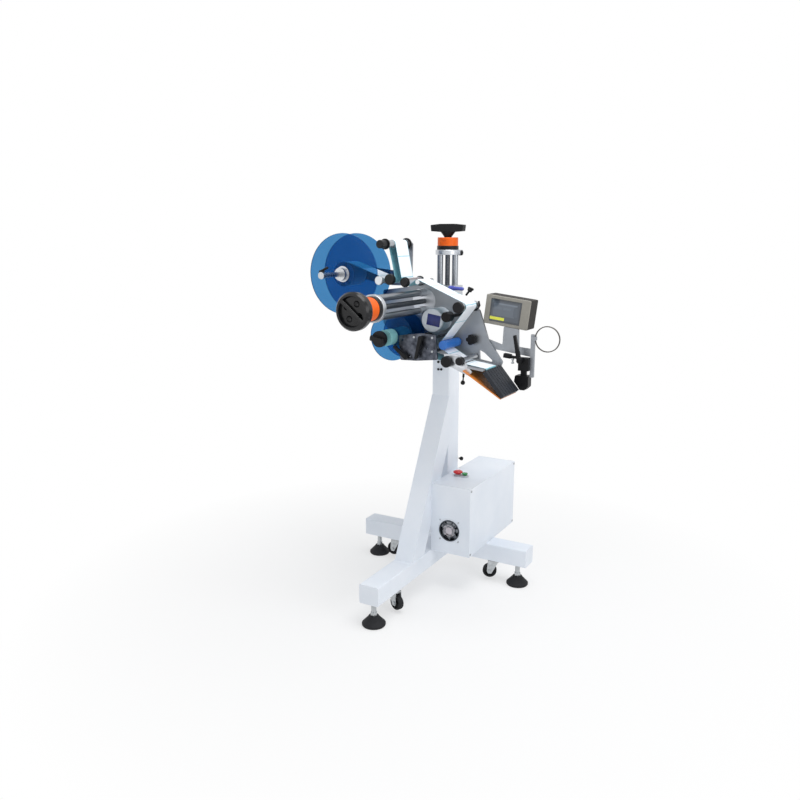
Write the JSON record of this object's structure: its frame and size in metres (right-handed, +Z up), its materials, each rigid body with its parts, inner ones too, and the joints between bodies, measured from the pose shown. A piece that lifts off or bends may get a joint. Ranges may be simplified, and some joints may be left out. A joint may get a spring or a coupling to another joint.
{
  "type": "bottle labelling machine",
  "caption": "Stand-mounted bottle labelling head with reels, web rollers, crank slides, operator panel and a control box on a T-shaped base.",
  "frame": {"origin": "on the floor under the middle of the machine's footprint", "axes": "+Z up, X along the cross beam with the operator panel on the +X side, -Y towards the operator and the front foot"},
  "size_m": [1.013, 1.003, 1.503],
  "materials": {
    "white_paint": "satin powder coat",
    "screw_steel": "plated steel",
    "fan_plastic": "glass-filled plastic",
    "guard_wire": "moulded finger guard",
    "bezel_plastic": "moulded plastic",
    "stop_red": "glossy",
    "start_green": "glossy",
    "electronics": "folded sheet",
    "zinc": "zinc plated",
    "caster_rubber": "matt",
    "foot_rubber": "matt rubber pad on a plated stud",
    "hard_chrome": "ground and chromed",
    "screw_thread": "rolled thread",
    "anodised": "clear anodised",
    "indicator": "moulded orange case on a black base",
    "handle_black": "moulded",
    "plate_grey": "grey anodised",
    "axle_steel": "ground",
    "label_paper": "coated label paper",
    "motor_paint": "satin",
    "bracket_dark": "dark grey anodised",
    "panel_case": "satin grey",
    "panel_glass": "glossy screen",
    "spring_orange": "orange coated spring steel",
    "pad_rubber": "ribbed rubber",
    "sensor_black": "moulded",
    "cable_grey": "pvc jacket",
    "lever_black": "moulded",
    "blue_acrylic": "clear blue acrylic",
    "core_blue": "blue core and roll",
    "mandrel_teal": "wound liner on the mandrel",
    "roller_metal": "anodised sleeve, black collars",
    "drive_blue": "blue polyurethane"
  },
  "bodies": {
    "stand": {"base_frame": "white_paint", "column": "white_paint", "box_shell": "white_paint", "box_cover": "white_paint", "frame_screws": "screw_steel", "fan_frame": "fan_plastic", "fan_guard": "guard_wire", "button_bezel": "bezel_plastic", "control_electronics": "electronics", "caster_plates": "zinc", "lift_rods": "hard_chrome", "lift_end_plates": "anodised", "lift_indicator": "indicator"},
    "fan": {"fan_rotor": "fan_plastic"},
    "stop": {"stop_button": "stop_red"},
    "start": {"start_button": "start_green"},
    "left_foot": {"foot_left": "foot_rubber"},
    "right_foot": {"foot_right": "foot_rubber"},
    "front_foot": {"foot_front": "foot_rubber"},
    "left_caster": {"caster_left_fork": "zinc"},
    "right_caster": {"caster_right_fork": "zinc"},
    "front_caster": {"caster_front_fork": "zinc"},
    "left_wheel": {"caster_left_wheel": "caster_rubber"},
    "right_wheel": {"caster_right_wheel": "caster_rubber"},
    "front_wheel": {"caster_front_wheel": "caster_rubber"},
    "lift_crank": {"lift_screw": "screw_thread", "lift_handle": "handle_black"},
    "carriage": {"lift_carriage": "anodised", "cross_rods": "hard_chrome", "cross_end_flange": "anodised", "cross_indicator": "indicator"},
    "cross_crank": {"cross_screw": "screw_thread", "handwheel": "handle_black"},
    "slider": {"slider_block": "anodised"},
    "head": {"head_plate": "plate_grey", "reel_arm": "plate_grey", "roller_shafts": "axle_steel", "label_web": "label_paper", "drive_motor": "motor_paint", "nip_bracket": "bracket_dark", "side_bracket": "plate_grey", "hmi_case": "panel_case", "hmi_screen": "panel_glass", "peel_plate": "plate_grey", "peel_spring": "spring_orange", "wipe_pad": "pad_rubber", "label_sensor": "sensor_black", "sensor_cable": "cable_grey", "clamp_levers": "lever_black"},
    "unwind_reel": {"unwind_discs": "blue_acrylic", "unwind_core": "core_blue"},
    "rewind_reel": {"rewind_discs": "blue_acrylic", "rewind_core": "mandrel_teal"},
    "roller_reel_in_body": {"roller_reel_in": "roller_metal"},
    "roller_reel_out_body": {"roller_reel_out": "roller_metal"},
    "roller_top_body": {"roller_top": "roller_metal"},
    "roller_turn_body": {"roller_turn": "roller_metal"},
    "roller_corner_body": {"roller_corner": "roller_metal"},
    "roller_peel_body": {"roller_peel": "roller_metal"},
    "drive_roller_body": {"drive_roller": "drive_blue"}
  },
  "joints": [
    {"name": "fan_spin", "type": "hinge", "parent": "stand", "child": "fan", "pos_m": [0.1215, 0.038, 0.273], "axis": [0, 1, 0], "continuous": true},
    {"name": "lift", "type": "slide", "parent": "stand", "child": "carriage", "axis": [0, 0, 1], "range_m": [-0.12, 0.09]},
    {"name": "lift_crank_turn", "type": "hinge", "parent": "stand", "child": "lift_crank", "pos_m": [-0.0025, 0.226, 1.38], "axis": [0, 0, 1], "continuous": true},
    {"name": "cross_slide", "type": "slide", "parent": "carriage", "child": "slider", "axis": [0, 1, 0], "range_m": [-0.15, 0.03]},
    {"name": "cross_crank_turn", "type": "hinge", "parent": "carriage", "child": "cross_crank", "pos_m": [-0.0025, -0.369, 1.205], "axis": [0, 1, 0], "continuous": true},
    {"name": "head_tilt", "type": "hinge", "parent": "slider", "child": "head", "pos_m": [-0.0025, 0.022, 1.205], "axis": [0, 1, 0], "range_deg": [-20, 20]},
    {"name": "unwind_spin", "type": "hinge", "parent": "head", "child": "unwind_reel", "pos_m": [-0.2975, -0.101, 1.308], "axis": [0, 1, 0], "continuous": true},
    {"name": "rewind_spin", "type": "hinge", "parent": "head", "child": "rewind_reel", "pos_m": [-0.0785, -0.101, 1.074], "axis": [0, 1, 0], "continuous": true},
    {"name": "stop_press", "type": "slide", "parent": "stand", "child": "stop", "axis": [0, 0, -1], "range_m": [0, 0.004], "stiffness_N_per_m": 600, "springref_m": -0.002},
    {"name": "start_press", "type": "slide", "parent": "stand", "child": "start", "axis": [0, 0, -1], "range_m": [0, 0.004], "stiffness_N_per_m": 600, "springref_m": -0.002},
    {"name": "left_foot_level", "type": "slide", "parent": "stand", "child": "left_foot", "axis": [0, 0, 1], "range_m": [-0.02, 0.015]},
    {"name": "right_foot_level", "type": "slide", "parent": "stand", "child": "right_foot", "axis": [0, 0, 1], "range_m": [-0.02, 0.015]},
    {"name": "front_foot_level", "type": "slide", "parent": "stand", "child": "front_foot", "axis": [0, 0, 1], "range_m": [-0.02, 0.015]},
    {"name": "left_caster_swivel", "type": "hinge", "parent": "stand", "child": "left_caster", "pos_m": [-0.2435, 0.244, 0.088], "axis": [0, 0, 1], "continuous": true},
    {"name": "left_wheel_roll", "type": "hinge", "parent": "left_caster", "child": "left_wheel", "pos_m": [-0.2675, 0.244, 0.04], "axis": [0, -1, 0], "continuous": true},
    {"name": "right_caster_swivel", "type": "hinge", "parent": "stand", "child": "right_caster", "pos_m": [0.2385, 0.244, 0.088], "axis": [0, 0, 1], "continuous": true},
    {"name": "right_wheel_roll", "type": "hinge", "parent": "right_caster", "child": "right_wheel", "pos_m": [0.21595, 0.23579, 0.04], "axis": [0.342, -0.9397, 0], "continuous": true},
    {"name": "front_caster_swivel", "type": "hinge", "parent": "stand", "child": "front_caster", "pos_m": [-0.0025, -0.222, 0.088], "axis": [0, 0, 1], "continuous": true},
    {"name": "front_wheel_roll", "type": "hinge", "parent": "front_caster", "child": "front_wheel", "pos_m": [0.02005, -0.23021, 0.04], "axis": [0.342, 0.9397, 0], "continuous": true},
    {"name": "roller_reel_in_spin", "type": "hinge", "parent": "head", "child": "roller_reel_in_body", "pos_m": [-0.1255, -0.101, 1.288], "axis": [0, 1, 0], "continuous": true},
    {"name": "roller_reel_out_spin", "type": "hinge", "parent": "head", "child": "roller_reel_out_body", "pos_m": [-0.0775, -0.101, 1.293], "axis": [0, 1, 0], "continuous": true},
    {"name": "roller_top_spin", "type": "hinge", "parent": "head", "child": "roller_top_body", "pos_m": [-0.0775, -0.101, 1.425], "axis": [0, 1, 0], "continuous": true},
    {"name": "roller_turn_spin", "type": "hinge", "parent": "head", "child": "roller_turn_body", "pos_m": [-0.0165, -0.101, 1.284], "axis": [0, 1, 0], "continuous": true},
    {"name": "roller_corner_spin", "type": "hinge", "parent": "head", "child": "roller_corner_body", "pos_m": [0.2195, -0.101, 1.201], "axis": [0, 1, 0], "continuous": true},
    {"name": "roller_peel_spin", "type": "hinge", "parent": "head", "child": "roller_peel_body", "pos_m": [0.2255, -0.101, 1.004], "axis": [0, 1, 0], "continuous": true},
    {"name": "drive_roller_spin", "type": "hinge", "parent": "head", "child": "drive_roller_body", "pos_m": [0.1475, -0.101, 1.056], "axis": [0, 1, 0], "continuous": true}
  ],
  "couplings": [
    {"joint": "lift_crank_turn", "follows": "lift", "rad_per_m": 1256.6},
    {"joint": "cross_crank_turn", "follows": "cross_slide", "rad_per_m": 1256.6}
  ]
}
